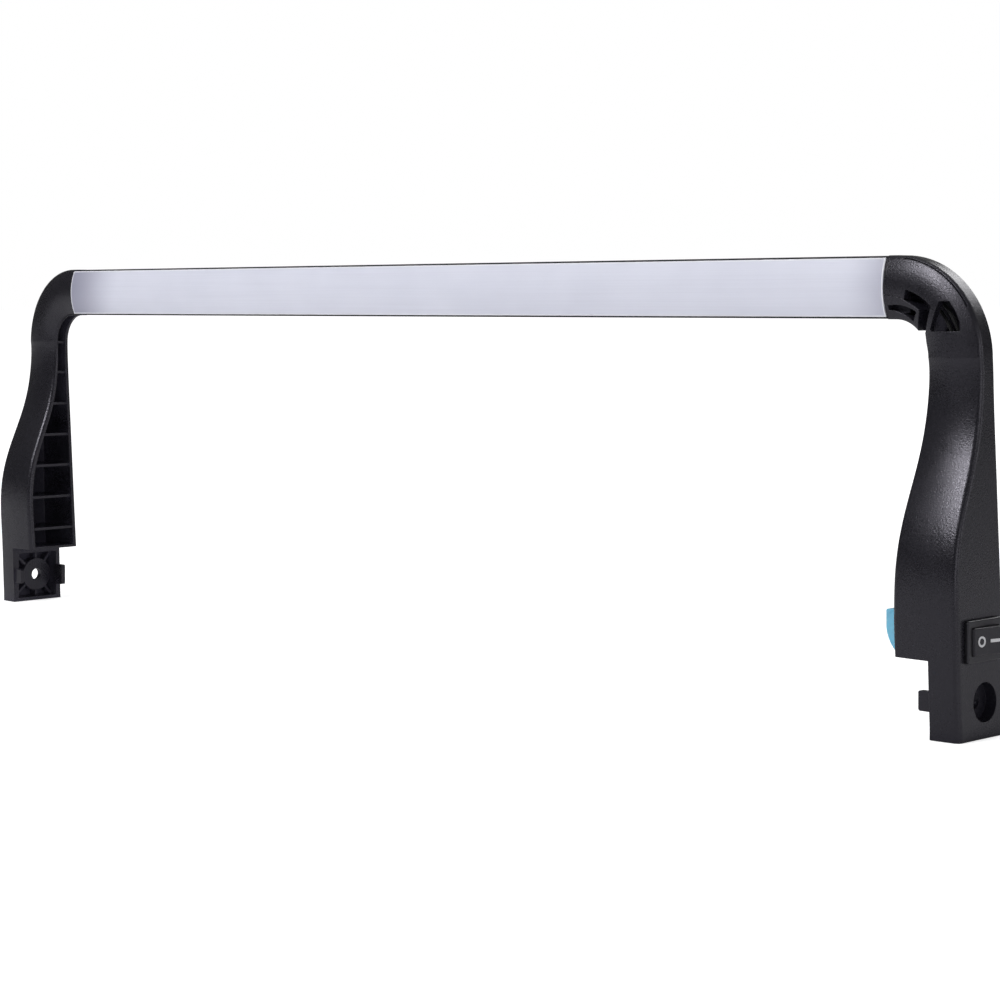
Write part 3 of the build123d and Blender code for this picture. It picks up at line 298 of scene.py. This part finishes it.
def tinted(name, colour):
    """Translucent coloured acetal: light sinks in a little, and edges are paler."""
    f = Finish(name)
    soft = f.soft_normal(0.25 * MM)
    cloud = f.noise(220.0, detail=2.0)
    shade = f.mix(f.spread(cloud, 0.3, 0.7, 0.0, 1.0), colour, scaled(colour, 1.15))
    edge = f.maths("MULTIPLY", f.edge_mask(soft), 0.6)
    f.wear(
        Base_Color=f.mix(edge, shade, scaled(colour, 0.7, 0.4)),
        Roughness=f.spread(cloud, 0.3, 0.7, 0.27, 0.4),
        Subsurface_Weight=0.35,
        Subsurface_Radius=(0.4, 0.8, 1.0),
        Subsurface_Scale=1.5 * MM,
        Normal=f.bump(f.noise(900.0), 0.006 * MM, soft),
    )
    return f.material


def metal(name, colour, rough, scratch=0.004 * MM):
    """Metal with short scratches of this depth and cloudy tarnish."""
    f = Finish(name)
    soft = f.soft_normal(0.08 * MM)
    scratches = f.noise(1.0, detail=4.0, rough=0.6, place=f.stretched((900.0, 3600.0, 5200.0)))
    cloud = f.noise(400.0)
    f.wear(
        Base_Color=f.mix(f.spread(cloud, 0.35, 0.7, 0.0, 1.0), colour, scaled(colour, 0.72)),
        Metallic=1.0,
        Roughness=f.spread(f.maths("ADD", scratches, cloud), 0.7, 1.3, rough - 0.08, rough + 0.12),
        Normal=f.bump(scratches, scratch, soft),
    )
    return f.material


def board(name, colour, track_colour):
    """Circuit board lacquer with raised tracks showing through."""
    f = Finish(name)
    weave = f.noise(2200.0, detail=1.0, rough=0.5)
    lines = f.node("ShaderNodeTexBrick", offset=0.5)
    for key, value in (("Vector", f.place), ("Scale", 330.0), ("Mortar Size", 0.06),
                       ("Color1", colour), ("Color2", scaled(colour, 0.85)),
                       ("Mortar", track_colour)):
        f.feed(lines.inputs[key], value)
    f.wear(
        Base_Color=f.mix(f.spread(weave, 0.4, 0.7, 0.0, 0.2), lines.outputs["Color"], track_colour),
        Roughness=f.spread(weave, 0.3, 0.7, 0.28, 0.4),
        Normal=f.bump(lines.outputs["Fac"], -0.02 * MM, f.soft_normal(0.1 * MM)),
    )
    return f.material


def soft_sleeve(name, colour, specular=0.5):
    """PVC lead sleeve with a fine grain and a soft sheen."""
    f = Finish(name)
    drawn = f.noise(1600.0, detail=2.0)
    cloud = f.noise(120.0)
    f.wear(
        Base_Color=f.mix(f.spread(cloud, 0.3, 0.7, 0.0, 1.0), colour, scaled(colour, 0.8)),
        Roughness=f.spread(drawn, 0.3, 0.7, 0.38, 0.5),
        Specular_IOR_Level=specular,
        Sheen_Weight=0.15,
        Normal=f.bump(drawn, 0.01 * MM),
    )
    return f.material


# the cavity reach sets where the painted light and shade of the legs' openings fall
LEG_BLACK = dict(colour=(0.0075, 0.0072, 0.0100), edge=0.5 * MM, sheen=(0.91, 0.88, 1.0),
                 cavity=12.0 * MM)
FINISHES = {
    "black_plastic": moulded("black_plastic", **LEG_BLACK),
    "black_channel": satin_profile("black_channel", (0.018, 0.018, 0.021)),
    "diffuser_opal": opal("diffuser_opal"),
    "blue_plastic": tinted("blue_plastic", (0.20, 0.53, 0.73)),
    "switch_black": moulded("switch_black", (0.010, 0.010, 0.012), rough=0.36, grain=2600.0,
                            depth=0.008 * MM, edge=0.15 * MM, sheen=(0.92, 0.9, 1.0)),
    "white_print": moulded("white_print", (0.66, 0.66, 0.68), rough=0.45, grain=4000.0,
                           depth=0.006 * MM, edge=0.03 * MM),
    "contact_metal": metal("contact_metal", (0.78, 0.62, 0.33), 0.3),
    "spring_steel": metal("spring_steel", (0.56, 0.56, 0.58), 0.26),
    "screw_steel": metal("screw_steel", (0.10, 0.10, 0.11), 0.36, scratch=0.008 * MM),
    "board_green": board("board_green", (0.012, 0.10, 0.04), (0.03, 0.20, 0.07)),
    "board_white": board("board_white", (0.72, 0.72, 0.70), (0.62, 0.62, 0.60)),
    "chip_yellow": moulded("chip_yellow", (0.75, 0.72, 0.60), rough=0.35, grain=3000.0,
                           depth=0.004 * MM),
    "phosphor": moulded("phosphor", (0.85, 0.62, 0.12), rough=0.45, grain=6000.0,
                        depth=0.004 * MM),
    "component_dark": moulded("component_dark", (0.03, 0.03, 0.032), rough=0.42, grain=2800.0,
                              depth=0.01 * MM),
    "connector_cream": moulded("connector_cream", (0.62, 0.57, 0.44), rough=0.4, grain=2400.0,
                               depth=0.008 * MM),
    "tape_grey": moulded("tape_grey", (0.30, 0.30, 0.32), rough=0.7, grain=1200.0,
                         depth=0.02 * MM),
    "nickel": metal("nickel", (0.66, 0.63, 0.58), 0.22),
}
# nodes that don't take the finish of their material slot
NODE_FINISHES = {
    # the left leg's inside is open to the light, so painted light makes it paler than the right leg's
    # openings
    "left_leg": moulded("black_plastic_open_painted_light", cavity_painted_light=9.0, **LEG_BLACK),
    "supply_leads": soft_sleeve("sleeve_red", (0.42, 0.02, 0.02)),
    "switch_leads": soft_sleeve("sleeve_black", (0.02, 0.02, 0.022)),
    # seen in the window under the elbow, which is near black in the photo: the sleeve is painted near
    # black with little shine, as painted shade
    "led_leads": soft_sleeve("sleeve_painted_shade", (0.008, 0.008, 0.009), specular=0.15),
}


def dress_cad_nodes():
    """Every carried-over CAD node takes its own finish, or else that of its material slot."""
    for part in frame["record"]["subparts"]:
        node = part["node"]
        finish = NODE_FINISHES.get(node) or FINISHES[part["material_slot"]]
        data = nodes[node].data
        data.materials.clear()
        data.materials.append(finish)


dress_cad_nodes()


# --- pieces that stand in for CAD solids or add to them ------------------------------------------
def new_object(name, data):
    made = bpy.data.objects.new(name, data)
    bpy.context.scene.collection.objects.link(made)
    return made


def mesh_object(name, bm, material):
    """Turns a bmesh into an object of one material, and frees it."""
    mesh = bpy.data.meshes.new(name)
    bm.to_mesh(mesh)
    bm.free()
    mesh.materials.append(material)
    return new_object(name, mesh)


def new_piece(name, bm, material, body):
    """Turns a bmesh in frame coordinates into a smooth piece that rides on a body."""
    piece = mesh_object(name, bm, material)
    for polygon in piece.data.polygons:
        polygon.use_smooth = True
    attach(piece, body)
    return piece


WIRE_RADIUS = 0.25 * MM
WIRE_SIDES = 10
SPRING_TURNS = 9
SPRING_STEPS = 28          # rings in a turn
CLOSED_ADVANCE = 2.05      # how far a closed end turn comes along, in wire radii


def wire_along(bm, centres, outward, along):
    """A round wire through the centres, closed at both ends; outward leads away from the coil."""
    angles = [tau * k / WIRE_SIDES for k in range(WIRE_SIDES)]
    rings = []
    for centre, out, ahead in zip(centres, outward, along):
        side = ahead.cross(out).normalized()
        spokes = [cos(angle) * out + sin(angle) * side for angle in angles]
        rings.append([bm.verts.new(centre + WIRE_RADIUS * spoke) for spoke in spokes])
    for ring, after in zip(rings, rings[1:]):
        for k in range(WIRE_SIDES):
            bm.faces.new((ring[k - 1], ring[k], after[k], after[k - 1]))
    bm.faces.new(list(reversed(rings[0])))
    bm.faces.new(rings[-1])


def catch_coil():
    """Compression spring behind the catch, with its end turns closed up."""
    low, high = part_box("catch_spring")
    middle = middle_of("catch_spring")
    radius = (high.z - low.z) / 2 - WIRE_RADIUS
    closed = CLOSED_ADVANCE * WIRE_RADIUS
    run = high.x - low.x - 2 * WIRE_RADIUS
    pitch = (run - 2 * closed) / (SPRING_TURNS - 2)

    def reach(turn):
        """How far along the spring a turn has come."""
        if turn <= 1:
            return closed * turn
        if turn >= SPRING_TURNS - 1:
            return run - closed * (SPRING_TURNS - turn)
        return closed + pitch * (turn - 1)

    centres, outward = [], []
    for step in range(SPRING_TURNS * SPRING_STEPS + 1):
        turn = step / SPRING_STEPS
        out = Vector((0, cos(tau * turn), sin(tau * turn)))
        outward.append(out)
        x = low.x + WIRE_RADIUS + reach(turn)
        centres.append(Vector((x, middle.y, middle.z)) + radius * out)
    along = [(b - a).normalized() for a, b in zip(centres, centres[1:])]
    along.append(along[-1])
    bm = bmesh.new()
    wire_along(bm, centres, outward, along)
    coil = new_piece("catch_coil", bm, FINISHES["spring_steel"], "frame")
    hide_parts("catch_spring")
    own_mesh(coil)


CHIP_COUNT = 42
CHIP_LENGTH = 3.5 * MM
DOME_RADIUS, DOME_HEIGHT = 1.25 * MM, 0.25 * MM


def phosphor_domes():
    """The yellow domes on the chips under the diffuser."""
    low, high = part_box("led_chips")
    pitch = (high.x - low.x - CHIP_LENGTH) / (CHIP_COUNT - 1)
    shape = Matrix.Diagonal((DOME_RADIUS, DOME_HEIGHT, DOME_RADIUS, 1.0))
    bm = bmesh.new()
    for chip in range(CHIP_COUNT):
        x = low.x + CHIP_LENGTH / 2 + chip * pitch
        place = Matrix.Translation((x, low.y, (low.z + high.z) / 2))
        bmesh.ops.create_uvsphere(bm, u_segments=16, v_segments=8, radius=1.0, matrix=place @ shape)
    new_piece("led_phosphor", bm, FINISHES["phosphor"], "frame")


catch_coil()
phosphor_domes()


# --- stage, lights and camera --------------------------------------------------------------------
FLOOR_HALF = 30.0
FLOOR_DROP = 0.2 * MM
# distance from the middle, and the glow that the camera sees on the floor there
GLOW_NEAR, GLOW_FAR = (0.5, 0.68), (2.6, 1.0)


def pale_floor():
    bm = bmesh.new()
    bmesh.ops.create_grid(bm, x_segments=1, y_segments=1, size=FLOOR_HALF)
    f = Finish("studio_floor")
    floor = mesh_object("studio_floor", bm, f.material)
    floor.location = STAGE_MIDDLE - Vector((0, 0, FLOOR_DROP))
    away = f.node("ShaderNodeVectorMath", operation="LENGTH")
    f.feed(away.inputs[0], f.place)
    glow = f.spread(away.outputs["Value"], GLOW_NEAR[0], GLOW_FAR[0], GLOW_NEAR[1], GLOW_FAR[1])
    seen = f.node("ShaderNodeLightPath").outputs["Is Camera Ray"]
    f.wear(Base_Color=(0.80, 0.80, 0.81), Roughness=0.9, Specular_IOR_Level=0.1,
           Emission_Color=(1.0, 1.0, 1.0), Emission_Strength=f.maths("MULTIPLY", glow, seen))


def studio_world():
    """White behind the object for the camera, and a soft dim gradient for reflections."""
    world = bpy.data.worlds.new("studio")
    bpy.context.scene.world = world
    world.use_nodes = True
    tree = world.node_tree
    tree.nodes.clear()
    place, split, ramp, around, seen, rays, mix, output = [tree.nodes.new(kind) for kind in (
        "ShaderNodeTexCoord", "ShaderNodeSeparateXYZ", "ShaderNodeMapRange", "ShaderNodeBackground",
        "ShaderNodeBackground", "ShaderNodeLightPath", "ShaderNodeMixShader",
        "ShaderNodeOutputWorld")]
    seen.inputs["Color"].default_value = (1.0, 1.0, 1.0, 1.0)
    for key, value in (("From Min", 0.0), ("From Max", 0.9), ("To Min", 0.06), ("To Max", 0.3)):
        ramp.inputs[key].default_value = value
    for source, socket in (
        (place.outputs["Generated"], split.inputs["Vector"]),
        (split.outputs["Z"], ramp.inputs["Value"]),
        (ramp.outputs["Result"], around.inputs["Strength"]),
        (rays.outputs["Is Camera Ray"], mix.inputs["Fac"]),
        (around.outputs["Background"], mix.inputs[1]),
        (seen.outputs["Background"], mix.inputs[2]),
        (mix.outputs["Shader"], output.inputs["Surface"]),
    ):
        tree.links.new(source, socket)


AIM_HEIGHT = 0.1       # the lights look at this height above the feet
# name, azimuth and elevation in degrees, distance, width, height, and power in watts;
# azimuth 0 is in front, on the -Y side, and 90 on the +X side
SOFTBOXES = (
    ("key", -12, 36, 2.6, 0.8, 0.7, 38),
    ("top", 10, 82, 2.4, 2.6, 2.0, 12),
    ("rim", 176, 34, 2.6, 1.4, 0.9, 18),
    ("side", 112, 8, 3.0, 0.9, 1.4, 8),
    ("fill", 70, 6, 3.0, 1.2, 1.2, 10),
)


def softbox(name, azimuth, elevation, distance, width, height, power):
    """An area light that looks at the object."""
    light = bpy.data.lights.new(name, "AREA")
    light.shape = "RECTANGLE"
    light.size = width
    light.size_y = height
    light.energy = power
    lamp = new_object(name, light)
    a, e = radians(azimuth), radians(elevation)
    out = Vector((sin(a) * cos(e), -cos(a) * cos(e), sin(e)))
    lamp.location = STAGE_MIDDLE + Vector((0, 0, AIM_HEIGHT)) + out * distance
    lamp.rotation_mode = "QUATERNION"
    lamp.rotation_quaternion = out.to_track_quat("Z", "Y")


# solved from the photo together with the outlines of the legs and the bar
CAMERA_PLACE = Vector((0.8121, -0.7454, 0.1575))
CAMERA_YAW, CAMERA_PITCH, CAMERA_ROLL = radians(45.43), radians(-0.028), radians(-0.155)
CAMERA_LENS, CAMERA_SENSOR, CAMERA_SHIFT = 89.43, 36.0, -0.2


def studio_camera():
    """The camera in front of the right leg, looking back along the bar."""
    data = bpy.data.cameras.new("camera")
    data.sensor_width = CAMERA_SENSOR
    data.lens = CAMERA_LENS
    data.shift_y = CAMERA_SHIFT
    data.clip_start = 0.05
    data.clip_end = 200.0
    camera = new_object("camera", data)
    flat = cos(CAMERA_PITCH)
    ahead = Vector((-sin(CAMERA_YAW) * flat, cos(CAMERA_YAW) * flat, sin(CAMERA_PITCH)))
    right = Vector((cos(CAMERA_YAW), sin(CAMERA_YAW), 0.0))
    up = right.cross(ahead)
    rolled_right = cos(CAMERA_ROLL) * right + sin(CAMERA_ROLL) * up
    rolled_up = cos(CAMERA_ROLL) * up - sin(CAMERA_ROLL) * right
    turn = Matrix((rolled_right, rolled_up, -ahead)).transposed()
    camera.matrix_world = Matrix.Translation(STAGE_MIDDLE + CAMERA_PLACE) @ turn.to_4x4()
    bpy.context.scene.camera = camera


pale_floor()
studio_world()
for box in SOFTBOXES:
    softbox(*box)
studio_camera()
view = bpy.context.scene.view_settings
view.view_transform = "Standard"
view.look = "None"
